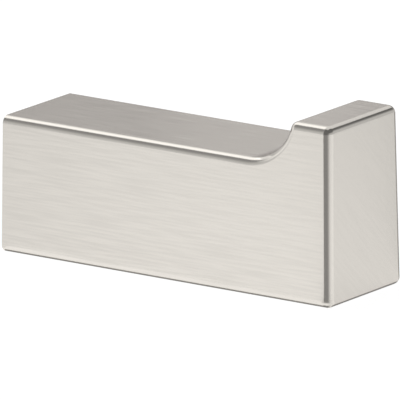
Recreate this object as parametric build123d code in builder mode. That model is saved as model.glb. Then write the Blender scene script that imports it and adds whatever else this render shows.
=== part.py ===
from build123d import *
import os
from math import cos, radians, sin, sqrt, tan

# Wall hook for towels. The wall is the plane Y = 0, the hook reaches out along -Y, and +Z is up.
# The origin is on the wall, on the axis of the wall screw. All lengths are in millimetres.

# Hook body, measured at the underside, where the casting is longest and widest
hook_length = 50.0
hook_width = 16.0
hook_height = 23.0      # underside to the top of the lip
bar_height = 17.55      # underside to the seat that the towel hangs on
axis_height = 8.8       # underside to the axis of the wall screw
lip_top = 6.0           # front to back across the top of the lip, before its edges are rounded
lip_lean = 9.3          # degrees from plumb at the top of the lip's inner side
side_draft = 1.1        # degrees that each side leans in on its way up
front_draft = 1.2       # degrees that the front leans back on its way up
edge_radius = 1.0

# Wall post, turned from bar
post_diameter = 10.0
post_length = 14.0
post_chamfer = 0.6
screw_hole_diameter = 4.5
sink_diameter = 8.6     # 90 degree countersink for the head of the wall screw
groove_depth = 1.0      # groove with 45 degree flanks, for the point of the set screw
groove_setback = 7.0    # wall to the middle of the groove

# Set screw with a cone point and a hexagon socket
screw_diameter = 4.0
screw_length = 4.0
screw_chamfer = 0.4
point_diameter = 0.8    # flat at the end of the 90 degree cone
key_size = 2.0          # across the flats of the hexagon
key_depth = 1.5

# Clearances between the pieces
socket_clearance = 0.15     # radial, post in its socket
socket_end_gap = 0.5        # beyond the end of the post
thread_clearance = 0.05     # radial, set screw in its hole
point_clearance = 0.1       # point of the set screw above the floor of the groove
mouth_chamfer = 0.4         # at the mouths of the socket and of the set screw's hole

# Places that follow from the sizes above
underside = -axis_height
seat = underside + bar_height
crest = underside + hook_height
front_at_crest = -hook_length + hook_height * tan(radians(front_draft))
lip_back = front_at_crest + lip_top
throat_radius = (hook_height - bar_height) / (1 - sin(radians(lip_lean)))
throat_start = lip_back + throat_radius * cos(radians(lip_lean))
half_width = hook_width / 2
half_width_at_crest = half_width - hook_height * tan(radians(side_draft))
socket_radius = post_diameter / 2 + socket_clearance
socket_depth = post_length + socket_end_gap
thread_radius = screw_diameter / 2 + thread_clearance

# Hook body: the side profile, with one arc from the seat to the top of the lip
with BuildPart() as hook_body:
    with BuildSketch(Plane.YZ):
        with BuildLine():
            outline = Polyline(
                (throat_start, seat),
                (0, seat),
                (0, underside),
                (-hook_length, underside),
                (front_at_crest, crest),
                (lip_back, crest),
            )
            TangentArc(outline @ 0, outline @ 1, tangent=(-1, 0))
        make_face()
    extrude(amount=half_width, both=True)

    # The drafted sides: what lies inside a section that narrows upwards
    with BuildSketch(Plane.XZ):
        with BuildLine():
            Polyline(
                (-half_width, underside),
                (half_width, underside),
                (half_width_at_crest, crest),
                (-half_width_at_crest, crest),
                close=True,
            )
        make_face()
    extrude(amount=hook_length, mode=Mode.INTERSECT)

    # Every edge is rounded but those of the wall end, which lies flat on the wall
    wall_end = hook_body.faces().sort_by(Axis.Y)[-1]
    fillet(hook_body.edges() - wall_end.edges(), radius=edge_radius)

    # Socket for the post
    with BuildSketch(Plane.XZ):
        Circle(socket_radius)
    extrude(amount=socket_depth, mode=Mode.SUBTRACT)
    socket_mouth = hook_body.edges().filter_by(GeomType.CIRCLE).sort_by(Axis.Y)[-1]
    chamfer(socket_mouth, length=mouth_chamfer)

    # Hole for the set screw, from the underside into the socket
    with BuildSketch(Plane.XY.offset(underside)):
        with Locations((0, -groove_setback)):
            Circle(thread_radius)
    extrude(amount=axis_height, mode=Mode.SUBTRACT)
    hole_mouth = hook_body.edges().filter_by(GeomType.CIRCLE).sort_by(Axis.Z)[0]
    chamfer(hole_mouth, length=mouth_chamfer)

# Wall post: one turned profile, radius across and place along the axis
post_radius = post_diameter / 2
screw_hole_radius = screw_hole_diameter / 2
sink_radius = sink_diameter / 2
sink_depth = sink_radius - screw_hole_radius
groove_radius = post_radius - groove_depth
groove_floor = point_diameter / 2
groove_reach = groove_floor + groove_depth

with BuildPart() as wall_post:
    with BuildSketch(Plane.XY):
        with BuildLine():
            Polyline(
                (screw_hole_radius, 0),
                (post_radius, 0),
                (post_radius, -groove_setback + groove_reach),
                (groove_radius, -groove_setback + groove_floor),
                (groove_radius, -groove_setback - groove_floor),
                (post_radius, -groove_setback - groove_reach),
                (post_radius, -post_length + post_chamfer),
                (post_radius - post_chamfer, -post_length),
                (sink_radius, -post_length),
                (screw_hole_radius, -post_length + sink_depth),
                close=True,
            )
        make_face()
    revolve(axis=Axis.Y)

# Set screw: turned profile about its own upright axis, then the hexagon socket
screw_radius = screw_diameter / 2
point_radius = point_diameter / 2
screw_point = -groove_radius - point_clearance
screw_base = screw_point - screw_length
screw_shoulder = screw_point - (screw_radius - point_radius)
screw_plane = Plane.XZ.offset(groove_setback)

with BuildPart() as set_screw:
    with BuildSketch(screw_plane):
        with BuildLine():
            Polyline(
                (0, screw_base),
                (screw_radius - screw_chamfer, screw_base),
                (screw_radius, screw_base + screw_chamfer),
                (screw_radius, screw_shoulder),
                (point_radius, screw_point),
                (0, screw_point),
                close=True,
            )
        make_face()
    revolve(axis=Axis((0, -groove_setback, 0), (0, 0, 1)))
    with BuildSketch(Plane.XY.offset(screw_base)):
        with Locations((0, -groove_setback)):
            RegularPolygon(radius=key_size / sqrt(3), side_count=6)
    extrude(amount=key_depth, mode=Mode.SUBTRACT)

hook_body.part.label = "hook_body"
wall_post.part.label = "wall_post"
set_screw.part.label = "set_screw"

os.makedirs("parts", exist_ok=True)
export_step(hook_body.part, "parts/hook_body.step")
export_step(wall_post.part, "parts/wall_post.step")
export_step(set_screw.part, "parts/set_screw.step")
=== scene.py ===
# %% [markdown]
# # A towel hook in satin metal
#
# The hook is a small cast bar that stands out from a wall, with a lip at its free end. The packed
# CAD model gives its pieces and their places. Here each piece gets the surface and the finish that
# a close look needs: round edges that mirror a studio cleanly, and a brushed grain on the flats.

# %% Load the frame
import bpy
import numpy as np
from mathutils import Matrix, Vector


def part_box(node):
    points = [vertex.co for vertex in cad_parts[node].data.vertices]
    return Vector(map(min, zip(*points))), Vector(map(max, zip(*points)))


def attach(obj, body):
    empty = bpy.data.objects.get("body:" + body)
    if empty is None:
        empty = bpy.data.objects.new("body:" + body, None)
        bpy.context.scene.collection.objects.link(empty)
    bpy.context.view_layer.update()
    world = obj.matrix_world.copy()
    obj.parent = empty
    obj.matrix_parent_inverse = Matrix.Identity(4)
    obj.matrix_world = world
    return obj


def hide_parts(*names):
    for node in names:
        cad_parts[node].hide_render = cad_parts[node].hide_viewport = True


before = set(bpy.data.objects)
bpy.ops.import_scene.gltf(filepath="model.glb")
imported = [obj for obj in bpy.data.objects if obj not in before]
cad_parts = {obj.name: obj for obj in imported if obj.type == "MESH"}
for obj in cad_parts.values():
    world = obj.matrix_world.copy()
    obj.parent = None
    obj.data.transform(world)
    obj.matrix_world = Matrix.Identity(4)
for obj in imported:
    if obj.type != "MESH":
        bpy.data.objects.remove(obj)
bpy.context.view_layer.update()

print("nodes", sorted(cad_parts))

# %% [markdown]
# ## Sizes
#
# The wall plane, the underside and the crest of the lip come from the frame. The rest are the
# casting's own sizes: its length and width at the underside, the height of the bar, the lip, the
# draft that lets it leave the mould, and one radius for all the edges that a hand or a towel touches.

# %% Sizes of the casting
MM = 0.001
hook_low, hook_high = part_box("hook_body")
wall = hook_high.y
underside = hook_low.z
crest = hook_high.z
hook_length = 50.0 * MM
half_width = 8.0 * MM
bar_height = 17.55 * MM
lip_top = 6.0 * MM
edge_radius = 1.0 * MM
lip_lean, side_draft, front_draft = np.radians([9.3, 1.1, 1.2])
seat = underside + bar_height
throat_radius = (crest - seat) / (1 - np.sin(lip_lean))
lip_back = wall - hook_length + (crest - underside) * np.tan(front_draft) + lip_top
throat_centre = np.array([lip_back + throat_radius * np.cos(lip_lean), seat + throat_radius])
print(f"seat {seat / MM:.2f} mm, throat radius {throat_radius / MM:.2f} mm")

# %% [markdown]
# ## Surfaces from grids
#
# Every piece here is a set of patches. A patch is a grid: a function of two parameters gives each
# of its points a place, the true direction that the surface faces, and a pair of coordinates along
# and across the brushing. Blender could guess the facing from the polygons, but on a small round
# edge the guess shows as bands in the reflections, so each corner keeps the worked-out direction.

# %% A patch is a grid
def quads_of(rows, columns):
    """Corner numbers of the quads of a grid, counted row by row."""
    first = np.arange(rows - 1)[:, None] * columns + np.arange(columns - 1)
    return np.stack([first, first + 1, first + columns + 1, first + columns], axis=-1).reshape(-1, 4)


def patch(points, normals, brush, polish=None, hole=None):
    """A grid of points with its normals and brush coordinates, all spread to the grid's shape.

    polish is 1 in the middle of a round edge and 0 on a brushed flat. hole gives the first and last
    row and column of a block of quads that is left open. The quads are turned to face the normals.
    """
    rows, columns = points.shape[:2]
    normals = np.broadcast_to(normals, points.shape)
    brush = np.broadcast_to(brush, (rows, columns, 2))
    polish = np.zeros((rows, columns)) if polish is None else polish
    quads = quads_of(rows, columns)
    if hole:
        row, column = np.divmod(quads[:, 0], columns)
        inside = (row >= hole[0]) & (row < hole[1]) & (column >= hole[2]) & (column < hole[3])
        quads = quads[~inside]
    flat, facing = points.reshape(-1, 3), normals.reshape(-1, 3)
    across = flat[quads[:, 2]] - flat[quads[:, 0]]
    along = flat[quads[:, 3]] - flat[quads[:, 1]]
    if np.sum(np.cross(across, along) * facing[quads[:, 0]]) < 0:
        quads = quads[:, ::-1]
    return flat, facing, brush.reshape(-1, 2), polish.reshape(-1), quads


print("a grid of 3 by 4 points has", len(quads_of(3, 4)), "quads")

# %% [markdown]
# Patches that share a border have to share its points too, or the piece has open seams. Points
# that fall together are found by rounding them to a fine raster, of an odd size, so that no round
# measure lies on its border. A quad with two corners in one point, as at the middle of a disc,
# becomes a triangle.

# %% Join patches into one piece
weld_raster = 1.7e-6


def added(name, data):
    """An object that holds the given mesh, lamp or camera, put into the scene."""
    holder = bpy.data.objects.new(name, data)
    bpy.context.collection.objects.link(holder)
    return holder


def join(name, patches):
    """One object from many patches: points that fall together become one, and collapsed corners go."""
    points, normals, brush, polish = (np.concatenate([p[k] for p in patches]) for k in range(4))
    starts = np.cumsum([0] + [len(p[0]) for p in patches[:-1]])
    corners = np.concatenate([p[4] + start for p, start in zip(patches, starts)])
    raster = np.round(points / weld_raster)
    _, first, weld = np.unique(raster, axis=0, return_index=True, return_inverse=True)
    faces = weld.reshape(-1)[corners]
    keep = faces != np.roll(faces, -1, axis=1)
    keep[keep.sum(1) < 3] = False
    totals = keep.sum(1)[keep.any(1)]
    mesh = bpy.data.meshes.new(name)
    mesh.vertices.add(len(first))
    mesh.vertices.foreach_set("co", points[first].ravel())
    mesh.loops.add(int(totals.sum()))
    mesh.loops.foreach_set("vertex_index", faces[keep].astype(np.int32))
    mesh.polygons.add(len(totals))
    mesh.polygons.foreach_set("loop_start", (np.cumsum(totals) - totals).astype(np.int32))
    mesh.update(calc_edges=True)
    mesh.uv_layers.new(name="brush").data.foreach_set("uv", brush[corners[keep]].ravel())
    mesh.attributes.new("polish", "FLOAT", "CORNER").data.foreach_set("value", polish[corners[keep]])
    mesh.polygons.foreach_set("use_smooth", np.ones(len(totals), bool))
    mesh.normals_split_custom_set(normals[corners[keep]])
    print(name, len(first), "points", len(totals), "faces")
    return added(name, mesh)


print(f"points are welded on a raster of {weld_raster / MM:.4f} mm")

# %% [markdown]
# ## The path round the hook
#
# Seen from the side, the casting is an outline: along the underside, up the front, over the lip,
# down the throat and back along the seat. A rounded edge is what a ball leaves when it rolls inside
# the outline, so the path follows the ball's centre, one edge radius in, with the direction the
# surface faces there. On a flat the centre moves and the direction stays. At a corner the centre
# stays and the direction turns, which makes the round edge without a bevel.

# %% Steps of the path
def straight(start, end, angle, fractions):
    """The ball's centre goes from start to end, at the given fractions, and faces one way."""
    fractions = np.asarray(fractions)[:, None]
    return np.concatenate([start + fractions * (end - start), np.full_like(fractions, angle)], axis=1)


def turn(point, angle_from, angle_to, steps):
    """The ball's centre stays at a corner while the direction turns in even steps."""
    angles = np.linspace(angle_from, angle_to, steps + 1)[1:-1]
    return np.column_stack([np.broadcast_to(point, (len(angles), 2)), angles])


def on_throat(angles):
    """The ball's centre as it rolls round the throat: one edge radius outside the throat's arc."""
    away = np.column_stack([np.sin(angles), np.cos(angles)])
    return throat_centre - (throat_radius + edge_radius) * away


low_rail = underside + edge_radius
high_rail = crest - edge_radius
inset = edge_radius / np.cos(front_draft) - hook_length + wall
toe = np.array([inset + edge_radius * np.tan(front_draft), low_rail])
nose = np.array([inset + (high_rail - underside) * np.tan(front_draft), high_rail])
lip_angle = np.arccos((throat_centre[1] - high_rail) / (throat_radius + edge_radius))
lip_corner = on_throat([lip_angle])[0]
seat_start = on_throat([0.0])[0]
heel_low = np.array([wall, low_rail])
heel_high = np.array([wall, seat - edge_radius])
print("throat turns", round(np.degrees(lip_angle), 1), "degrees from the lip to the seat")

# %% [markdown]
# The stations of the path are the rows of the grid to come. Angles are counted from straight up,
# towards the wall. A few extra stations on the underside frame the place of the set screw's hole,
# so that a block of quads can be left open there.

# %% Walk the path
edge_steps = 12
throat_steps = 32
screw_setback = 7.0 * MM
hole_block = 4.0 * MM
hole_rows = 16
down, forward, up = -np.pi, front_draft - np.pi / 2, 0.0
hole_stops = (screw_setback + np.linspace(-hole_block, hole_block, hole_rows + 1)) / (wall - toe[0])
throat_angles = np.linspace(lip_angle, up, throat_steps + 1)[:-1]
stretches = [
    ("flat", straight(heel_low, toe, down, np.concatenate([[0.0], hole_stops, [1.0]]))),
    ("edge", turn(toe, down, forward, edge_steps)),
    ("flat", straight(toe, nose, forward, [0.0, 1.0])),
    ("edge", turn(nose, forward, up, edge_steps)),
    ("flat", straight(nose, lip_corner, up, [0.0, 1.0])),
    ("edge", turn(lip_corner, up, lip_angle, edge_steps)),
    ("flat", np.column_stack([on_throat(throat_angles), throat_angles])),
    ("flat", straight(seat_start, heel_high, up, [0.0, 1.0])),
]
path = np.concatenate([stations for kind, stations in stretches])
centre_y, centre_z, facing_angle = path.T
path_normal = np.column_stack([np.zeros(len(path)), np.sin(facing_angle), np.cos(facing_angle)])
print(len(path), "stations")

# %% [markdown]
# ## The band and its round edges
#
# Across the path, each station is carried from the left side to the right: a quarter turn of the
# ball from the side's direction to the path's, a straight run over the top of the band, and the
# same quarter turn down to the other side. A great-circle step between the two directions keeps
# the turn exact even though the drafted sides don't stand square to the underside.

# %% Band
band_steps = 24


def between(start, end, steps):
    """Directions in even steps along the great circle from start to end, one row per station."""
    angle = np.arccos(np.clip(np.sum(start * end, axis=-1), -1, 1))[:, None, None]
    part = np.linspace(0, 1, steps + 1)[None, :, None]
    mixture = np.sin((1 - part) * angle) * start[:, None] + np.sin(part * angle) * end[:, None]
    return mixture / np.sin(angle)


reach = half_width - (centre_z - underside) * np.tan(side_draft) - edge_radius / np.cos(side_draft)
right_normal = np.array([np.cos(side_draft), 0, np.sin(side_draft)])
left_normal = right_normal * np.array([-1, 1, 1])
left_turn = between(np.broadcast_to(left_normal, path_normal.shape), path_normal, edge_steps)
right_turn = between(path_normal, np.broadcast_to(right_normal, path_normal.shape), edge_steps)
level = np.repeat(path_normal[:, None], band_steps - 1, axis=1)
band_normals = np.concatenate([left_turn, level, right_turn], axis=1)
side_end = np.ones(edge_steps + 1)
side_share = np.concatenate([-side_end, np.linspace(-1, 1, band_steps + 1)[1:-1], side_end])
columns = len(side_share)
ball_x = reach[:, None] * side_share
ball_y = np.repeat(centre_y[:, None], columns, axis=1)
ball_z = np.repeat(centre_z[:, None], columns, axis=1)
band_points = np.stack([ball_x, ball_y, ball_z], axis=-1) + edge_radius * band_normals
print("band", band_points.shape[0], "by", columns, "points")

# %% [markdown]
# The finish needs to know two more things at each point. Polish says how far the brushing has worn
# off: it is full in the middle of a round edge and nothing on a flat. The brush coordinates are
# metres along the grain, which runs round the path, and metres across it.

# %% Polish and brush coordinates
def half_sine(kind, count):
    """0 on a flat; across a round edge half a sine wave, which is 1 in its middle."""
    return np.sin(np.linspace(0, np.pi, count + 2))[1:-1] if kind == "edge" else np.zeros(count)


quarter = np.sin(np.linspace(0, np.pi, edge_steps + 1))
across_round = np.concatenate([quarter, np.zeros(band_steps - 1), quarter])
along_round = np.concatenate([half_sine(kind, len(stations)) for kind, stations in stretches])
band_polish = 1 - (1 - along_round[:, None]) * (1 - across_round)
steps_along = np.linalg.norm(np.diff(band_points[:, columns // 2], axis=0), axis=1)
run = np.concatenate([[0], np.cumsum(steps_along)])
steps_across = np.linalg.norm(np.diff(band_points, axis=1), axis=2)
width_run = np.concatenate([np.zeros((len(path), 1)), np.cumsum(steps_across, axis=1)], axis=1)
width_run = width_run - width_run[:, -1:] / 2
band_brush = np.stack([np.repeat(run[:, None], columns, axis=1), width_run], axis=-1)
print(f"once round the path is {run[-1] / MM:.1f} mm")

# %% [markdown]
# The band is cut in three at the middle of two round edges, because the front end was rubbed down
# differently: at a slant, and with a finer grit than the rest. Turning the brush coordinates by an
# eighth of a circle gives the slant, and more polish gives the finer look.

# %% Three stretches of the band
front_polish = 0.7
ends = np.cumsum([len(stations) for kind, stations in stretches])
toe_middle, nose_middle = (ends[0] + ends[1]) // 2, (ends[2] + ends[3]) // 2
below = slice(0, toe_middle + 1)
front = slice(toe_middle, nose_middle + 1)
above = slice(nose_middle, None)
along_grain, across_grain = band_brush[..., 0], band_brush[..., 1]
slanted = np.stack([along_grain - across_grain, along_grain + across_grain], axis=-1) / np.sqrt(2)
band_polish[front] = np.maximum(band_polish[front], front_polish)
hole = (1, 1 + hole_rows, edge_steps, columns - 1 - edge_steps)
hook_patches = [
    patch(band_points[below], band_normals[below], band_brush[below], band_polish[below], hole),
    patch(band_points[front], band_normals[front], slanted[front], band_polish[front]),
    patch(band_points[above], band_normals[above], band_brush[above], band_polish[above]),
]
print("quads below, in front and above:", [len(p[4]) for p in hook_patches])

# %% [markdown]
# ## The two sides
#
# Each side is flat, so it needs no grid inside: its outline is joined to one point from which the
# whole outline can be seen. That point lies below the lip, because from the middle of the bar the
# throat would hide the lip's corner.

# %% Sides
hub_setback = 44.0 * MM
hub_y, hub_z = wall - hub_setback, 0.0


def side_patch(column, normal):
    """A fan from the band's outer column and the wall edge to one point on the same flat side."""
    outline = band_points[:, column]
    wall_edge = np.linspace(outline[-1], outline[0], band_steps + 1)
    outline = np.concatenate([outline, wall_edge[1:]])
    hub_x = np.sign(normal[0]) * (half_width - (hub_z - underside) * np.tan(side_draft))
    spokes = np.stack([outline, np.broadcast_to([hub_x, hub_y, hub_z], outline.shape)])
    return patch(spokes, normal, spokes[:, :, 1:])


hook_patches += [side_patch(0, left_normal), side_patch(-1, right_normal)]
print("each side is a fan of", len(hook_patches[-1][4]), "triangles")

# %% [markdown]
# ## The wall end and its socket
#
# A round hole in a flat face is a set of rings: the first ring is the face's outline, the next the
# mouth of the hole, then the small chamfer, the wall and, in a blind socket, the floor. Every ring
# has as many points as the outline, so the rings are the rows of one grid. The drill and the
# chamfer leave crisp edges, which come from giving each stretch its own patch.

# %% Wall end and socket
socket_radius = 5.15 * MM
socket_depth = 14.5 * MM
mouth = 0.4 * MM


def ring(angles, radius):
    """A circle of the given radius at the given angles, as two columns."""
    return radius * np.column_stack([np.cos(angles), np.sin(angles)])


def wall_ring(radius, y):
    """A ring about the wall screw's axis, at one distance from the wall."""
    flat_ring = ring(wall_angles, radius)
    return np.column_stack([flat_ring[:, 0], np.full(len(flat_ring), y), flat_ring[:, 1]])


def crossways(grid):
    """Brush coordinates for a face that is brushed from side to side: its own x and z."""
    return grid[..., [0, 2]]


right_edge = np.linspace(band_points[0, -1], band_points[-1, -1], band_steps + 1)[1:-1]
left_edge = np.linspace(band_points[-1, 0], band_points[0, 0], band_steps + 1)[1:]
wall_outline = np.concatenate([band_points[0], right_edge, band_points[-1, ::-1], left_edge])
wall_angles = np.arctan2(wall_outline[:, 2], wall_outline[:, 0])
out_of_wall = np.array([0.0, 1.0, 0.0])
to_socket_axis = -wall_ring(1.0, 0.0)
block_rows = wall - screw_setback - np.linspace(-hole_block, hole_block, hole_rows + 1)
bore_rows = np.concatenate([[wall - mouth], block_rows, [wall - socket_depth]])
face = np.stack([wall_outline, wall_ring(socket_radius + mouth, wall)])
bevel = np.stack([face[1], wall_ring(socket_radius, wall - mouth)])
bore = np.stack([wall_ring(socket_radius, y) for y in bore_rows])
bottom = np.stack([bore[-1], wall_ring(0.0, wall - socket_depth)])
hook_patches += [
    patch(face, out_of_wall, crossways(face)),
    patch(bevel, (to_socket_axis + out_of_wall) / np.sqrt(2), crossways(bevel)),
    patch(bore, to_socket_axis, crossways(bore), hole=hole),
    patch(bottom, out_of_wall, crossways(bottom)),
]
print("rings of", len(wall_outline), "points; socket", socket_depth / MM, "mm deep")

# %% [markdown]
# ## The set screw's hole
#
# The hole runs from the underside up into the socket. In both surfaces a block of quads was left
# open, and here each block's outline is joined to the round hole: on the underside by a flat ring,
# in the socket by a collar that bends with the bore. A boolean would cut the hole as well, but it
# leaves long thin faces that shade badly.

# %% Rings of the set screw's hole
screw_hole = 2.05 * MM
hole_axis = np.array([0.0, wall - screw_setback])


def block_loop(grid):
    """The outline of the open block in a grid, once round and back to its first point."""
    top, bottom, left, right = hole
    return np.concatenate([
        grid[top, left:right],
        grid[top:bottom, right],
        grid[bottom, right:left:-1],
        grid[bottom:top - 1:-1, left],
    ])


def level_ring(radius, height):
    """A level circle about the set screw's axis; height may differ from point to point."""
    circle = ring(hole_angles, radius) + hole_axis
    return np.column_stack([circle, np.broadcast_to(height, len(circle))])


outer_loop = block_loop(band_points)
inner_loop = block_loop(bore)
hole_angles = np.arctan2(outer_loop[:, 1] - hole_axis[1], outer_loop[:, 0])
to_screw_axis = np.column_stack([-ring(hole_angles, 1.0), np.zeros(len(hole_angles))])
downwards = np.array([0.0, 0.0, -1.0])
saddle = level_ring(screw_hole, -np.sqrt(socket_radius**2 - ring(hole_angles, screw_hole)[:, 0] ** 2))
mouth_flat = np.stack([outer_loop, level_ring(screw_hole + mouth, underside)])
mouth_bevel = np.stack([mouth_flat[1], level_ring(screw_hole, underside + mouth)])
hole_wall = np.stack([mouth_bevel[1], saddle])
mouth_brush = np.stack([wall - mouth_flat[..., 1], mouth_flat[..., 0]], axis=-1)
hook_patches += [
    patch(mouth_flat, downwards, mouth_brush),
    patch(mouth_bevel, (to_screw_axis + downwards) / np.sqrt(2), crossways(mouth_bevel)),
    patch(hole_wall, to_screw_axis, crossways(hole_wall)),
]
print("hole wall from", round(saddle[:, 2].min() / MM, 2), "to", round(underside / MM, 2), "mm")

# %% [markdown]
# The collar lies on the bore, so it is worked out in the bore's own terms, the angle round the
# socket and the distance from the wall. Both go evenly from the open block to the round hole.

# %% Collar in the socket, and the finished casting
collar_rows = 5
share = np.linspace(0, 1, collar_rows)[:, None]
loop_turn = np.arctan2(inner_loop[:, 2], inner_loop[:, 0])
saddle_turn = np.arctan2(saddle[:, 2], saddle[:, 0])
collar_turn = loop_turn + (saddle_turn - loop_turn) * share
collar_y = inner_loop[:, 1] + (saddle[:, 1] - inner_loop[:, 1]) * share
collar_out = np.stack([np.cos(collar_turn), np.zeros_like(collar_y), np.sin(collar_turn)], axis=-1)
collar = socket_radius * collar_out + collar_y[..., None] * out_of_wall
hook_patches.append(patch(collar, -collar_out, crossways(collar)))
hook = join("towel_hook_casting", hook_patches)

# %% [markdown]
# ## The wall post
#
# The post is turned on a lathe, so one profile, carried once round, is the whole piece. Each
# straight stretch of the profile is its own patch, which keeps the edges between them crisp. The
# cone at its far end takes the head of the wall screw, and the groove takes the set screw's point.

# %% Wall post
post_radius = 5.0 * MM
post_length = 14.0 * MM
post_chamfer = 0.6 * MM
screw_clear = 2.25 * MM
sink_radius = 4.3 * MM
groove_depth = 1.0 * MM
point_radius = 0.4 * MM
round_steps = 96


def lathe(profile, place):
    """Patches of a turned piece: each stretch of the profile, radius and height, once round the axis.

    place puts radius times cosine, radius times sine and height into the frame.
    """
    angles = np.linspace(0, 2 * np.pi, round_steps + 1)
    cosine, sine = np.cos(angles), np.sin(angles)
    made = []
    for start, end in zip(profile[:-1], profile[1:]):
        radius, height = np.array([start, end]).T[..., None]
        out, rise = np.array([end[1] - start[1], start[0] - end[0]]) / np.hypot(*(end - start))
        points = place(radius * cosine, radius * sine, np.repeat(height, round_steps + 1, axis=1))
        normals = place(out * cosine, out * sine, np.full(round_steps + 1, rise), direction=True)
        brush = np.stack(np.broadcast_arrays(angles * post_radius, height + radius), axis=-1)
        made.append(patch(points, normals, brush))
    return made


def along_wall_axis(first, second, height, direction=False):
    """Lathe axis along the wall screw: height runs out from the wall."""
    return np.stack([first, -height if direction else wall - height, second], axis=-1)


groove_reach = point_radius + groove_depth
post_profile = np.array([
    (screw_clear, 0),
    (post_radius, 0),
    (post_radius, screw_setback - groove_reach),
    (post_radius - groove_depth, screw_setback - point_radius),
    (post_radius - groove_depth, screw_setback + point_radius),
    (post_radius, screw_setback + groove_reach),
    (post_radius, post_length - post_chamfer),
    (post_radius - post_chamfer, post_length),
    (sink_radius, post_length),
    (screw_clear, post_length - sink_radius + screw_clear),
    (screw_clear, 0),
])
post = join("turned_wall_post", lathe(post_profile, along_wall_axis))

# %% [markdown]
# ## The set screw
#
# The CAD screw is a plain cylinder. Here it gets its thread: at each angle and height the radius
# follows the V of a 0.7 mm pitch, climbing one pitch a turn, and it is cut down where the chamfered
# end and the cone point are slimmer. A screw modifier could wind a profile instead, but then the
# thread would not run out cleanly at the two ends.

# %% Thread of the set screw
screw_radius = 2.0 * MM
pitch = 0.7 * MM
thread_depth = 0.43 * MM
flank_gain, crest_land = 1.25, 0.1
screw_chamfer = 0.4 * MM
thread_rows = 161
screw_low, screw_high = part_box("set_screw")
screw_base, screw_point = screw_low.z, screw_high.z


def in_hole(first, second, height):
    """Puts offsets from the set screw's axis and a height into the frame."""
    return np.stack([first, second + hole_axis[1], height], axis=-1)


turns = np.linspace(0, 2 * np.pi, round_steps + 1)
heights = np.linspace(screw_base, screw_point, thread_rows)[:, None]
climb = np.mod(heights / pitch - turns / (2 * np.pi), 1.0)
groove = np.clip(np.abs(2 * climb - 1) * flank_gain - crest_land, 0, 1)
ridge = screw_radius - thread_depth * groove
base_limit = screw_radius - screw_chamfer + (heights - screw_base)
point_limit = point_radius + (screw_point - heights)
thread_radius = np.minimum(ridge, np.minimum(base_limit, point_limit))
thread_height = np.broadcast_to(heights, climb.shape)
thread = in_hole(thread_radius * np.cos(turns), thread_radius * np.sin(turns), thread_height)
slope_up = np.gradient(thread, axis=0)
slope_round = np.gradient(thread, axis=1)
slope_round[:, [0, -1]] = thread[:, [1]] - thread[:, [-2]]
thread_normals = np.cross(slope_round, slope_up)
thread_normals /= np.linalg.norm(thread_normals, axis=-1, keepdims=True)
print("thread of", round((screw_point - screw_base) / pitch, 1), "turns")

# %% [markdown]
# The hexagon socket for the key is a ring grid again. Its ring is a circle whose radius grows from
# the middle of each flat to the next corner, by one over the cosine of the angle between.

# %% Hexagon socket, and the finished screw
key_size = 2.0 * MM
key_depth = 1.5 * MM
from_flat = np.mod(turns, np.pi / 3) - np.pi / 6
hexagon = key_size / 2 / np.cos(from_flat)


def key_ring(radius, height):
    """A level ring about the screw's axis whose radius may follow the hexagon."""
    radius = np.broadcast_to(radius, turns.shape)
    return in_hole(radius * np.cos(turns), radius * np.sin(turns), np.full(turns.shape, height))


key_top = screw_base + key_depth
key_normal = -np.column_stack([ring(turns - from_flat, 1.0), np.zeros_like(turns)])
base_face = np.stack([thread[0], key_ring(hexagon, screw_base)])
key_wall = np.stack([base_face[1], key_ring(hexagon, key_top)])
key_floor = np.stack([key_wall[1], key_ring(0.0, key_top)])
point_face = np.stack([thread[-1], key_ring(0.0, screw_point)])
screw = join("threaded_set_screw", [
    patch(thread, thread_normals, thread[..., :2]),
    patch(base_face, downwards, base_face[..., :2]),
    patch(key_wall, key_normal, crossways(key_wall)),
    patch(key_floor, downwards, key_floor[..., :2]),
    patch(point_face, -downwards, point_face[..., :2]),
])

# %% [markdown]
# ## Each piece stands for its solid
#
# The pieces keep the solids' form, so each one replaces its CAD node and moves with the only body.

# %% Ride and replace
for piece, node, slot in (
    (hook, "hook_body", "satin_metal"),
    (post, "wall_post", "turned_steel"),
    (screw, "set_screw", "screw_steel"),
):
    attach(piece, "root")
    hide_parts(node)
    print(piece.name, "stands for", node)

# %% [markdown]
# ## Tools for the finishes
#
# The three finishes are made of the same few nodes. A photo of scratches could be laid over the
# metal, but noise needs no picture and never repeats. Stretched along the brush coordinates it is
# scratches, and left even it is the cloudy look of plating.

# %% Bare metal and its noise
def new_material(name, metallic=1.0):
    """A material with its nodes, its links and its main shader, which is bare metal unless told."""
    material = bpy.data.materials.new(name)
    material.use_nodes = True
    nodes = material.node_tree.nodes
    shader = nodes["Principled BSDF"]
    shader.inputs["Metallic"].default_value = metallic
    return material, nodes, material.node_tree.links, shader


def scratches(nodes, links, along, across, detail):
    """Noise on the brush coordinates, stretched to the given lengths along and across."""
    uv = nodes.new("ShaderNodeUVMap")
    uv.uv_map = "brush"
    mapping = nodes.new("ShaderNodeMapping")
    mapping.inputs["Scale"].default_value = (1 / along, 1 / across, 1)
    noise = nodes.new("ShaderNodeTexNoise")
    noise.noise_dimensions = "2D"
    noise.inputs["Scale"].default_value = 1.0
    noise.inputs["Detail"].default_value = detail
    links.new(uv.outputs["UV"], mapping.inputs["Vector"])
    links.new(mapping.outputs["Vector"], noise.inputs["Vector"])
    return noise.outputs["Fac"]


def cloud(nodes, links, size, detail):
    """Even noise in space, in patches of about the given size."""
    place = nodes.new("ShaderNodeTexCoord")
    noise = nodes.new("ShaderNodeTexNoise")
    noise.inputs["Scale"].default_value = 1 / size
    noise.inputs["Detail"].default_value = detail
    links.new(place.outputs["Object"], noise.inputs["Vector"])
    return noise.outputs["Fac"]


print("tools for noise: scratches, cloud")

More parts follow.
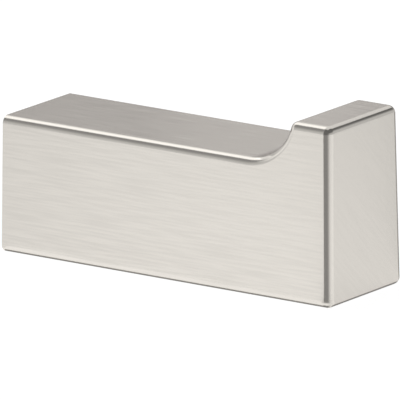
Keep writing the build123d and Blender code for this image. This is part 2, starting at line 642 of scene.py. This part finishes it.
# %% [markdown]
# Noise comes as a value between 0 and 1 that mostly stays near the middle. Before it can be a tone or
# a roughness it is spread over the range that the finish needs. Then it is joined with others and,
# where the metal is polished, blended away.

# %% Values from noise
def spread(nodes, links, value, low, high, start=0.25, end=0.75):
    """Maps a value from its usual spread, start to end, to the range from low to high."""
    node = nodes.new("ShaderNodeMapRange")
    node.inputs["From Min"].default_value = start
    node.inputs["From Max"].default_value = end
    node.inputs["To Min"].default_value = low
    node.inputs["To Max"].default_value = high
    links.new(value, node.inputs["Value"])
    return node.outputs["Result"]


def maths(nodes, links, operation, first, second):
    """One operation on two values; the second is a socket or a number."""
    node = nodes.new("ShaderNodeMath")
    node.operation = operation
    links.new(first, node.inputs[0])
    if isinstance(second, float):
        node.inputs[1].default_value = second
    else:
        links.new(second, node.inputs[1])
    return node.outputs[0]


def mixed(nodes, links, factor, first, second):
    """The first value where factor is 0, the second where it is 1, and a blend between."""
    node = nodes.new("ShaderNodeMix")
    links.new(factor, node.inputs["Factor"])
    links.new(first, node.inputs["A"])
    node.inputs["B"].default_value = second
    return node.outputs["Result"]


def tinted(nodes, links, colour, tone):
    """The colour times the tone, so that a tone of 1 leaves it as it is."""
    tint = nodes.new("ShaderNodeVectorMath")
    tint.operation = "SCALE"
    tint.inputs[0].default_value = colour
    links.new(tone, tint.inputs["Scale"])
    return tint.outputs[0]


print("tools for values: spread, maths, mixed, tinted")

# %% [markdown]
# Two tools act on the way the metal mirrors. Relief tilts the surface a little, as each scratch does.
# Combing widens a reflection in one direction only, as all the scratches that are too fine to see do
# together. A brushed face without it looks like frosted plastic.

# %% Relief and combing
quarter_turn = 0.25


def relief(nodes, links, shader, height, depth):
    """Bumps on the shader: the height, from 0 to 1, times the depth."""
    bump = nodes.new("ShaderNodeBump")
    bump.inputs["Distance"].default_value = depth
    links.new(height, bump.inputs["Height"])
    links.new(bump.outputs["Normal"], shader.inputs["Normal"])


def comb(nodes, links, shader, strength):
    """Spreads reflections across the grain: the shader's tangent is turned a quarter from the brush."""
    grain = nodes.new("ShaderNodeTangent")
    grain.direction_type = "UV_MAP"
    grain.uv_map = "brush"
    links.new(grain.outputs["Tangent"], shader.inputs["Tangent"])
    shader.inputs["Anisotropic"].default_value = strength
    shader.inputs["Anisotropic Rotation"].default_value = quarter_turn


print("tools for the surface: relief, comb")

# %% [markdown]
# ## Satin metal
#
# Plated castings are brushed along their length, which leaves fine scratches a few millimetres
# long. Each is a little lighter or darker than its neighbours, and together they spread a
# reflection across the grain far more than along it. On the round edges the brushing thins out, so
# polish blends the scratches away there, and the finish is smoother and mirrors more sharply. Seen
# at a slant the plate looks slightly warmer, which the specular tint gives.

# %% Satin metal
satin_colour = (0.772, 0.738, 0.685)
slant_tint = (1.0, 0.968, 0.962, 1)
fine_length, fine_width = 6.0 * MM, 0.30 * MM
broad_length, broad_width = 30 * MM, 1.2 * MM
fine_range = (0.959, 1.041)
broad_range = (0.99, 1.01)
roughness_range = (0.233, 0.267)
edge_roughness = 0.16
scratch_depth = 0.002 * MM
plain_tone = 1.0
middle_height = 0.5
satin_combing = 0.6
satin, nodes, links, shader = new_material("satin_metal")
attribute = nodes.new("ShaderNodeAttribute")
attribute.attribute_name = "polish"
polish = attribute.outputs["Fac"]
fine = scratches(nodes, links, fine_length, fine_width, detail=0.0)
broad = scratches(nodes, links, broad_length, broad_width, detail=1.0)
fine_tone = spread(nodes, links, fine, *fine_range)
broad_tone = spread(nodes, links, broad, *broad_range)
tone = maths(nodes, links, "MULTIPLY", fine_tone, broad_tone)
even_tone = mixed(nodes, links, polish, tone, plain_tone)
links.new(tinted(nodes, links, satin_colour, even_tone), shader.inputs["Base Color"])
flat_roughness = spread(nodes, links, fine, *roughness_range)
links.new(mixed(nodes, links, polish, flat_roughness, edge_roughness), shader.inputs["Roughness"])
relief(nodes, links, shader, mixed(nodes, links, polish, fine, middle_height), scratch_depth)
comb(nodes, links, shader, satin_combing)
shader.inputs["Specular Tint"].default_value = slant_tint
hook.data.materials.append(satin)
print("satin metal has", len(nodes), "nodes")

# %% [markdown]
# ## Turned steel
#
# A lathe tool leaves fine rings round the post, and the thin zinc plate over them is slightly
# cloudy. The rings are scratches that are far longer than once round, so they close on themselves.

# %% Turned steel
steel_colour = (0.62, 0.62, 0.63)
ring_length, ring_width = 400 * MM, 0.16 * MM
plating_patch = 1.6 * MM
ring_range = (0.84, 1.1)
plating_range = (0.92, 1.05)
turned_roughness = (0.24, 0.38)
ring_depth = 0.003 * MM
turned_combing = 0.5
steel, nodes, links, shader = new_material("turned_steel")
marks = scratches(nodes, links, ring_length, ring_width, detail=2.0)
plating = cloud(nodes, links, plating_patch, detail=3.0)
ring_tone = spread(nodes, links, marks, *ring_range)
plating_tone = spread(nodes, links, plating, *plating_range)
tone = maths(nodes, links, "MULTIPLY", ring_tone, plating_tone)
links.new(tinted(nodes, links, steel_colour, tone), shader.inputs["Base Color"])
links.new(spread(nodes, links, marks, *turned_roughness), shader.inputs["Roughness"])
relief(nodes, links, shader, marks, ring_depth)
comb(nodes, links, shader, turned_combing)
post.data.materials.append(steel)
print("turned steel has", len(nodes), "nodes")

# %% [markdown]
# ## Screw steel
#
# The set screw is rolled and hardened, which leaves it darker and duller than the post, with a fine
# mottle and no direction. So its noise is even, in two sizes.

# %% Screw steel
dark_colour = (0.42, 0.42, 0.43)
speckle_size = 0.2 * MM
stain_size = 1.2 * MM
speckle_range = (0.86, 1.12)
stain_range = (0.88, 1.06)
dark_roughness = (0.28, 0.44)
mottle_depth = 0.004 * MM
dark_steel, nodes, links, shader = new_material("screw_steel")
speckle = cloud(nodes, links, speckle_size, detail=2.0)
stain = cloud(nodes, links, stain_size, detail=2.0)
speckle_tone = spread(nodes, links, speckle, *speckle_range)
stain_tone = spread(nodes, links, stain, *stain_range)
tone = maths(nodes, links, "MULTIPLY", speckle_tone, stain_tone)
links.new(tinted(nodes, links, dark_colour, tone), shader.inputs["Base Color"])
links.new(spread(nodes, links, speckle, *dark_roughness), shader.inputs["Roughness"])
relief(nodes, links, shader, speckle, mottle_depth)
screw.data.materials.append(dark_steel)
print("screw steel has", len(nodes), "nodes")

# %% [markdown]
# ## Floor
#
# The hook stands on white paper. Paper that is lit like the hook comes out grey, so it gets some
# light of its own, which only rays from the camera or from the metal can see: no extra light falls
# on the hook, and the soft shadow stays. Right beside the foot the paper's light for mirrors is
# painted shade, so the lower edges mirror a thin painted dark line there. Far from the hook its light
# for mirrors is painted darker too. Seen from below the paper is clear, and it is cut out under the
# foot, so the underside and its screw show too.

# %% Paper
paper_colour = 0.3
paper_roughness = 0.9
bright_reach = 110 * MM
dim_reach = 400 * MM
dim_share = 0.68


def blended(material, factor, first, second):
    """Shows the first shader where factor is 0 and the second where it is 1.

    Rays that meet the material see its light, but it is not sampled as a lamp is.
    """
    nodes, links = material.node_tree.nodes, material.node_tree.links
    blend = nodes.new("ShaderNodeMixShader")
    links.new(factor, blend.inputs["Fac"])
    links.new(first.outputs[0], blend.inputs[1])
    links.new(second.outputs[0], blend.inputs[2])
    links.new(blend.outputs["Shader"], nodes["Material Output"].inputs["Surface"])
    material.cycles.emission_sampling = "NONE"


def paper(name, to_camera, to_metal):
    """White paper that adds one level of light for the camera and another for mirrors and glass.

    The light for mirrors falls from its full level near the origin to a share of it far away: painted
    shade.
    """
    material, nodes, links, shader = new_material(name, metallic=0.0)
    shader.inputs["Base Color"].default_value = (paper_colour, paper_colour, paper_colour, 1)
    shader.inputs["Roughness"].default_value = paper_roughness
    shader.inputs["Specular IOR Level"].default_value = 0.0
    shader.inputs["Emission Color"].default_value = (1, 1, 1, 1)
    ray = nodes.new("ShaderNodeLightPath")
    mirrors, glass = ray.outputs["Is Glossy Ray"], ray.outputs["Is Transmission Ray"]
    other = maths(nodes, links, "MAXIMUM", mirrors, glass)
    place = nodes.new("ShaderNodeTexCoord")
    away = nodes.new("ShaderNodeVectorMath")
    away.operation = "LENGTH"
    links.new(place.outputs["Object"], away.inputs[0])
    from_hook = away.outputs["Value"]
    # painted shade: the paper's light for mirrors falls off away from the hook
    dim_light = to_metal * dim_share
    painted_falloff = spread(nodes, links, from_hook, to_metal, dim_light, bright_reach, dim_reach)
    in_metal = maths(nodes, links, "MULTIPLY", other, painted_falloff)
    in_camera = maths(nodes, links, "MULTIPLY", ray.outputs["Is Camera Ray"], to_camera)
    links.new(maths(nodes, links, "ADD", in_camera, in_metal), shader.inputs["Emission Strength"])
    side = nodes.new("ShaderNodeNewGeometry")
    clear = nodes.new("ShaderNodeBsdfTransparent")
    blended(material, side.outputs["Backfacing"], shader, clear)
    return material


white_paper = paper("white_paper", to_camera=0.86, to_metal=0.84)
# painted shade: this rim paper gives mirrors little light; for the camera it gets more light than the
# white paper, which paints out part of the contact shadow
shaded_paper = paper("shaded_paper", to_camera=0.93, to_metal=0.17)
print("paper for the floor:", white_paper.name, "and", shaded_paper.name)

# %% [markdown]
# The floor is a small grid whose lines run along the foot: an open cell under it, a narrow rim of
# shaded paper round it on three sides, whose dark look in mirrors is painted shade, and white paper
# everywhere else. The rim leaves out the near corner, so the round edge there mirrors white paper.
# Cells are counted from the left and the front.

# %% Floor
def staged(name, points, quads):
    """A staged object from a list of points and quads."""
    mesh = bpy.data.meshes.new(name)
    mesh.from_pydata(points, [], quads.tolist())
    sheet = added(name, mesh)
    return sheet


floor_reach = 1.5
side_shade = 0.79 * MM
front_shade = 0.9 * MM
foot_x = half_width - edge_radius
foot_front = wall - hook_length + edge_radius
rim_x = foot_x + side_shade
floor_x = np.array([-floor_reach, -rim_x, -foot_x, foot_x, rim_x, floor_reach])
floor_y = np.array([-floor_reach, foot_front - front_shade, foot_front, wall, floor_reach])
grid_x, grid_y = np.meshgrid(floor_x, floor_y)
floor_points = np.stack([grid_x, grid_y, np.full_like(grid_x, underside)], axis=-1).reshape(-1, 3)
floor_quads = quads_of(*grid_x.shape)
cell_y, cell_x = np.divmod(np.arange(len(floor_quads)), len(floor_x) - 1)
foot_cell = 2
beside, in_front = cell_x - foot_cell, foot_cell - cell_y
open_cell = (beside == 0) & (in_front == 0)
near_cell = (beside == -1) & (in_front == 1)
rim = (np.abs(beside) <= 1) & (in_front >= 0) & (in_front <= 1) & ~near_cell
floor = staged("floor", floor_points, floor_quads[~open_cell])
floor.data.materials.append(white_paper)
floor.data.materials.append(shaded_paper)
floor.data.polygons.foreach_set("material_index", rim[~open_cell].astype(np.int32))
print("floor of", len(floor.data.polygons), "sheets,", int(rim[~open_cell].sum()), "of them shaded")

# %% [markdown]
# ## The room
#
# Bare metal has hardly a colour of its own: what it mirrors is what it looks like. The room is pale
# at the horizon and darker towards the ceiling, which gives the round edges their fall from light
# to dark, and a little darker on the far side, which the top of the hook mirrors. The camera itself
# sees it as plain white.

# %% Room
room_light = ((0.0, 0.57), (0.15, 0.55), (0.3, 0.48), (0.38, 0.32), (0.46, 0.15), (1.0, 0.15))
far_side = (0.82, 0.57, 0)
far_share = 0.94
room = bpy.data.worlds.new("studio")
bpy.context.scene.world = room
room.use_nodes = True
nodes, links = room.node_tree.nodes, room.node_tree.links
direction = nodes.new("ShaderNodeTexCoord")
parts = nodes.new("ShaderNodeSeparateXYZ")
ramp = nodes.new("ShaderNodeValToRGB")
links.new(direction.outputs["Generated"], parts.inputs["Vector"])
links.new(parts.outputs["Z"], ramp.inputs["Fac"])
stops = ramp.color_ramp.elements
stops.remove(stops[1])
for index, (height, light) in enumerate(room_light):
    stop = stops[0] if index == 0 else stops.new(height)
    stop.position = height
    stop.color = (light, light, light, 1)
towards = nodes.new("ShaderNodeVectorMath")
towards.operation = "DOT_PRODUCT"
towards.inputs[1].default_value = far_side
links.new(direction.outputs["Generated"], towards.inputs[0])
dimmed = nodes.new("ShaderNodeVectorMath")
dimmed.operation = "SCALE"
links.new(ramp.outputs["Color"], dimmed.inputs[0])
dimming = spread(nodes, links, towards.outputs["Value"], low=1.0, high=far_share, start=0.0, end=1.0)
links.new(dimming, dimmed.inputs["Scale"])
rays = nodes.new("ShaderNodeLightPath")
seen = nodes.new("ShaderNodeMix")
seen.data_type = "RGBA"
links.new(rays.outputs["Is Camera Ray"], seen.inputs["Factor"])
links.new(dimmed.outputs["Vector"], seen.inputs["A"])
seen.inputs["B"].default_value = (1, 1, 1, 1)
links.new(seen.outputs["Result"], nodes["Background"].inputs["Color"])
print("room light from", room_light[0][1], "at the horizon to", room_light[-1][1], "overhead")

# %% [markdown]
# ## Lamps
#
# Soft boxes do the lighting, as in a product studio. A wide one hangs over the far side and draws
# the bright line along the upper edges, and a smaller one below it brightens the line's core. Four
# stand behind the hook: two high ones lead that line into the throat's bend, and two low ones keep
# the rest of the throat's edge as pale as the side. Two weak ones on the left keep the line's dark
# half from going black. Three small ones on the right lift the top near the lip, the lip's front edge
# and the upper part of the front. The key box stands on the camera's left and lights the paper. It is
# hidden from mirrors, where its square image would look like a sticker. A lamp's power spreads over
# its whole face, so each power is worked out from how bright the face should look.

# %% Lamps
def soft_box(name, centre, size, radiance, aim=None, mirrored=True):
    """A rectangular lamp that faces aim, or straight down.

    Its power is the radiance of its face times pi times its area.
    """
    lamp = bpy.data.lights.new(name, "AREA")
    lamp.shape = "RECTANGLE"
    lamp.size, lamp.size_y = size
    lamp.energy = radiance * np.pi * lamp.size * lamp.size_y
    holder = added(name, lamp)
    holder.location = centre
    if aim is not None:
        holder.rotation_euler = (Vector(aim) - Vector(centre)).to_track_quat("-Z", "Y").to_euler()
    holder.visible_camera = False
    holder.visible_glossy = mirrored
    print(name, round(lamp.energy, 3), "W")


bar_middle = (0.0, wall - hook_length / 2, 0.0)
soft_box("wide_box", (0.3785, 0.222, 0.50), (0.993, 0.816), 0.667)
soft_box("core_box", (0.097, 0.3225, 0.45), (0.39, 0.335), 0.495)
soft_box("key_box", (-0.42, -0.25, 0.37), (0.36, 0.36), 2.6, bar_middle, mirrored=False)
soft_box("high_back_box", (0.07, 0.52, 0.35), (0.46, 0.20), 0.72, bar_middle)
soft_box("bend_box", (0.300, 0.437, 0.344), (0.16, 0.12), 0.45, bar_middle)
soft_box("low_back_box", (-0.06, 0.54, 0.12), (0.70, 0.30), 0.13, bar_middle)
soft_box("left_back_box", (-0.245, 0.475, 0.15), (0.24, 0.34), 0.33, bar_middle)
soft_box("low_left_box", (-0.5, 0.32, 0.22), (0.36, 0.42), 0.076, bar_middle)
soft_box("high_left_box", (-0.54, 0.45, 0.45), (0.90, 0.63), 0.132)
soft_box("low_right_box", (0.20, 0.06, 0.07), (0.10, 0.10), 0.095, bar_middle)
soft_box("far_right_box", (0.73, 0.29, 0.45), (0.25, 0.25), 0.12, bar_middle)
soft_box("front_right_box", (0.474, -0.384, 0.145), (0.25, 0.16), 0.06, bar_middle)

# %% [markdown]
# ## Cards round the hook
#
# A photographer who lights bare metal lays grey and white cards round it, out of the picture, and
# the metal shows them as the dark and light lines along its round edges. A card here is a painted
# reflection: a thin sheet that glows at a level of its own, is hidden from the camera, lights nothing
# and casts no shadow, so only mirrors see it. It fades at its borders, because a hard border would
# show as a line. Those that lie on the paper each have a height of their own, so that no two share
# a plane.

# %% A card
def soft_edge(value, start, end):
    """A smooth step from 0 at start to 1 at end."""
    part = np.clip((value - start) / (end - start), 0, 1)
    return part * part * (3 - 2 * part)


def sheet_points(x, y, z):
    """Points of a sheet from its three coordinates: each a grid, a row, a column or one number."""
    return np.stack(np.broadcast_arrays(x, y, z), axis=-1)


def card(name, points, shade, light):
    """A painted reflection: a card with one level of light that only mirrors see; shade is how dense it
    is at each point.
    """
    sheet = staged(name, points.reshape(-1, 3), quads_of(*shade.shape))
    sheet.data.attributes.new("shade", "FLOAT", "POINT").data.foreach_set("value", shade.ravel())
    sheet.visible_camera = False
    sheet.visible_diffuse = False
    sheet.visible_shadow = False
    material, nodes, _, shader = new_material(name)
    nodes.remove(shader)
    dense = nodes.new("ShaderNodeAttribute")
    dense.attribute_name = "shade"
    clear = nodes.new("ShaderNodeBsdfTransparent")
    glow = nodes.new("ShaderNodeEmission")
    glow.inputs["Strength"].default_value = light
    blended(material, dense.outputs["Fac"], clear, glow)
    sheet.data.materials.append(material)
    print(name, "card of", len(sheet.data.polygons), "quads")


grey_light = 0.286
card_height = 0.06 * MM
card_step = 0.01 * MM
print(f"grey cards shine at {grey_light} of full white, {card_height / MM:.2f} mm above the paper")

# %% [markdown]
# Grey fans lie at the two front corners of the foot. The near one paints a broad dark reflection,
# the dark band on the upright edge between side and front. Weaker ones paint a little shade into the
# front, and the far one paints the thin dark line on the far edge. At the rim of the near fan stands
# a darker screen, a painted dark reflection like the dark half of the room behind a photographer,
# which the corner of the lip mirrors.

# %% Grey fans
fan_reach = 300 * MM
fan_angles = 66
fan_rows = 31
screen_height = 300 * MM
screen_light = 0.155


def fan(corner, fade_in, fade_out, density, radius, height, count=fan_angles):
    """Points and shade of a fan about a corner, with one row for each radius or height.

    The shade climbs over the two angles of fade_in and falls over those of fade_out, in degrees
    from the x axis. Each row has count points.
    """
    angles = np.radians(np.linspace(fade_in[0], fade_out[1], count))
    x = corner[0] + radius * np.cos(angles)
    y = corner[1] + radius * np.sin(angles)
    shade = soft_edge(angles, *np.radians(fade_in)) * (1 - soft_edge(angles, *np.radians(fade_out)))
    points = sheet_points(x, y, underside + height)
    return points, np.broadcast_to(density * shade, points.shape[:2])


near_corner = np.array([-foot_x, foot_front])
far_corner = np.array([foot_x, foot_front])
fans = {
    "near_fan": (near_corner, (149, 156), (205, 262), 1.0),
    "middle_fan": (near_corner, (232, 252), (262, 300), 0.12),
    "front_fan": (near_corner, (-75, -45), (0, 12), 0.22),
    "far_fan": (far_corner, (-39.6, -19.6), (5, 37), 0.94),
}
fan_radius = np.linspace(0, fan_reach, fan_rows)[:, None]
for index, (name, shape) in enumerate(fans.items()):
    card(name, *fan(*shape, fan_radius, card_height + index * card_step), grey_light)
screen_rows = np.array([card_height, screen_height])[:, None]
card("near_screen", *fan(*fans["near_fan"], fan_reach, screen_rows), screen_light)

# %% [markdown]
# A wide grey card behind the left side paints shade into the side's reflection, so the side is a
# little darker towards the wall. The side mirrors the paper on a slant, so the card is skewed by the
# same slant: each of its rows is what one place along the side sees, whether high or low. Far from
# the hook the card gets denser, which paints the start of the dark line along the top edge softly.
# Its first row is clear, so that it has no border.

# %% Back card
back_skew = 0.55 / 0.80
back_start = np.array([-60, -50, -38, -26, -14, 0, 60])[:, None] * MM
row_shade = np.array([0, 0, 0.03, 0.06, 0.11, 0.19, 0.19])[:, None]
row_reach = np.array([0, 1, 1, 1, 1, 1, 1])[:, None]
back_away = np.array([0, 65, 150, 400]) * MM
far_shade = np.array([0, 0.005, 0.12, 0.20])
back_y = back_start + back_skew * back_away
back_points = sheet_points(-half_width - back_away, back_y, underside + card_height / 2)
card("back_card", back_points, row_shade + row_reach * far_shade, grey_light)

# %% [markdown]
# A small grey card stands upright to the right of the lip, square to the way its top mirrors the
# room. Only the far end of the lip sees it, so it paints shade into the top of the lip, darker towards
# that end.

# %% Lip card
lip_density = 0.52
lip_from = np.array([56, -13]) * MM
lip_along = np.array([0.57, -0.82])
lip_run = np.linspace(-10, 60, 29) * MM
lip_heights = np.array([12, 20, 36, 47])[:, None] * MM
height_fade = np.array([0, 1, 1, 0])[:, None]
lip_clear, lip_full = -8 * MM, 6 * MM
lip_x, lip_y = lip_from[:, None] + lip_along[:, None] * lip_run
lip_shade = lip_density * soft_edge(lip_run, lip_clear, lip_full) * height_fade
card("lip_card", sheet_points(lip_x, lip_y, lip_heights), lip_shade, grey_light)

# %% [markdown]
# A dark band stands far off on the right, behind the hook, a painted dark reflection like the end
# of the table against a dark room. It is low, so the flats hardly see it. But where the throat begins
# to rise, the metal is seen almost edge-on, and there it mirrors the band as a thin painted dark line.

# %% Horizon card
horizon_light = 0.1
horizon_radius = 300 * MM
horizon_angles = 33
horizon_shape = (np.zeros(2), (5, 20), (70, 85), 0.9)
horizon_heights = np.array([underside + 3 * card_height, 20 * MM, 48 * MM])[:, None]
upper_fade = np.array([1, 1, 0])[:, None]
horizon_rows = horizon_heights - underside
horizon_points, horizon_shade = fan(*horizon_shape, horizon_radius, horizon_rows, horizon_angles)
card("horizon_card", horizon_points, horizon_shade * upper_fade, horizon_light)

# %% [markdown]
# On the paper behind the hook lies a dark fan, a painted shadow like that of the table's end, which
# only mirrors see. The upper part of the throat's edge is seen almost edge-on too, and it mirrors the
# fan as a thin dark line. The fan starts well away from the wall end, which would mirror it when seen
# from behind.

# %% Rear fan
rear_light = 0.12
rear_start = 95 * MM
rear_full = 115 * MM
throat_setback = 42 * MM
rear_shape = (np.array([0.0, wall - throat_setback]), (51, 61), (90, 104), 1.0)
rear_radius = np.linspace(rear_start, fan_reach, fan_rows)[:, None]
rear_points, rear_shade = fan(*rear_shape, rear_radius, 4 * card_height)
card("rear_fan", rear_points, rear_shade * soft_edge(rear_radius, rear_start, rear_full), rear_light)

# %% [markdown]
# A white strip that glows brighter than the paper follows the foot of the left side and paints the
# light line above the dark one, a painted highlight. It runs along the foot's edge, gets narrower
# towards the near corner, where the dark band comes down, and fades out as it goes round that corner.

# %% Foot strip
strip_start = 0.88 * MM
strip_full = 0.95 * MM
strip_fade = 1.4 * MM
strip_end = 6.5 * MM
strip_narrowing = 0.66
narrow_from, narrow_to = 28 * MM, 47 * MM
strip_light = 1.05
strip_bend = np.pi / 8
strip_stations = np.linspace(0, 1, 9)
strip_border = np.linspace(strip_fade, strip_end, 12)
strip_offsets = np.concatenate([[strip_start, strip_full], strip_border])[:, None]
leftwards, frontwards = np.pi, 1.5 * np.pi
foot_path = np.concatenate([
    straight(np.array([-foot_x, wall]), near_corner, leftwards, strip_stations),
    turn(near_corner, leftwards, frontwards, edge_steps),
])
foot_edge_x, foot_edge_y, out_angle = foot_path.T
narrow = 1 - strip_narrowing * soft_edge(wall - foot_edge_y, narrow_from, narrow_to)
strip_out = strip_start + (strip_offsets - strip_start) * narrow
strip_x = foot_edge_x + strip_out * np.cos(out_angle)
strip_y = foot_edge_y + strip_out * np.sin(out_angle)
inner_edge = soft_edge(strip_offsets, strip_start, strip_full)
outer_edge = 1 - soft_edge(strip_offsets, strip_fade, strip_end)
along_strip = 1 - soft_edge(out_angle, leftwards + strip_bend, frontwards)
strip_points = sheet_points(strip_x, strip_y, underside + 2 * card_height)
card("foot_strip", strip_points, inner_edge * outer_edge * along_strip, strip_light)

# %% [markdown]
# ## Camera
#
# Product photos are taken with a long lens from well away, which keeps the edges almost parallel.
# The direction, the distance and the focal length here are those at which the hook's corners fall
# where they do in the picture that it is modelled on. The focal length is given in pixels of that
# picture, and the sensor's width turns it into millimetres.

# %% Camera
aim = np.array([-0.5127, -25.1433, 0.0779]) * MM
azimuth, elevation = np.radians([-55.099, 14.413])
distance = 1.70904
focal_pixels = 13687.139
picture_pixels = 400
sensor_mm = 36.0
level_reach = np.cos(elevation)
back = np.array([np.sin(azimuth) * level_reach, -np.cos(azimuth) * level_reach, np.sin(elevation)])
lens = bpy.data.cameras.new("camera")
lens.sensor_width = sensor_mm
lens.lens = focal_pixels / picture_pixels * sensor_mm
lens.clip_start, lens.clip_end = 0.1, 10.0
camera = added("camera", lens)
camera.location = aim + distance * back
camera.rotation_euler = (np.pi / 2 - elevation, 0, azimuth)
bpy.context.scene.camera = camera
bpy.context.scene.view_settings.view_transform = "Standard"
print("camera at", [round(c, 3) for c in camera.location], "with a lens of", round(lens.lens), "mm")
